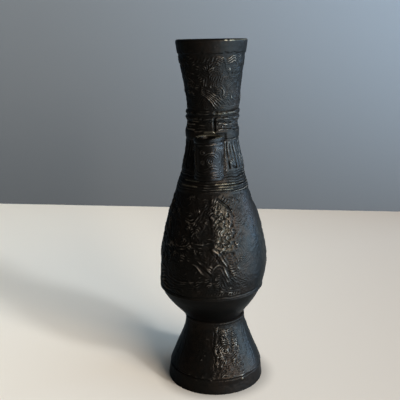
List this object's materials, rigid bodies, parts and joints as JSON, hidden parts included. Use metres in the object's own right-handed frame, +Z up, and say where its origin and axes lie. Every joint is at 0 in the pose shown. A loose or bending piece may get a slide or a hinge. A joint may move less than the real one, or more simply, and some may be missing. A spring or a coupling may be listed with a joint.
{
  "type": "arrow vase",
  "caption": "Small bronze arrow vase with a flared hollow foot, pear-shaped body, ringed neck with tubular ears and a trumpet mouth.",
  "frame": {"origin": "centre of the standing ring, on the surface that the vase stands on", "axes": "+Z up along the vase's axis, the two ears on -Y (front) and +Y (rear)"},
  "size_m": [0.0468, 0.0472, 0.15],
  "materials": {
    "patinated_bronze": "dark brown-black patina, semi-gloss on the high points",
    "worn_bronze": "dark patina rubbed to dull bronze on edges",
    "solder": "dull grey soft solder"
  },
  "bodies": {
    "root": {"foot": "patinated_bronze", "foot_joint_solder": "solder", "bowl": "patinated_bronze", "floor_plate": "worn_bronze", "floor_plate_solder": "solder", "body_joint_solder": "solder", "body": "patinated_bronze", "neck_joint_solder": "solder", "neck": "patinated_bronze", "front_ear": "worn_bronze", "front_ear_upper_rivet": "worn_bronze", "front_ear_lower_rivet": "worn_bronze", "rear_ear": "worn_bronze", "rear_ear_upper_rivet": "worn_bronze", "rear_ear_lower_rivet": "worn_bronze", "mouth_joint_solder": "solder", "mouth": "patinated_bronze"}
  },
  "joints": []
}
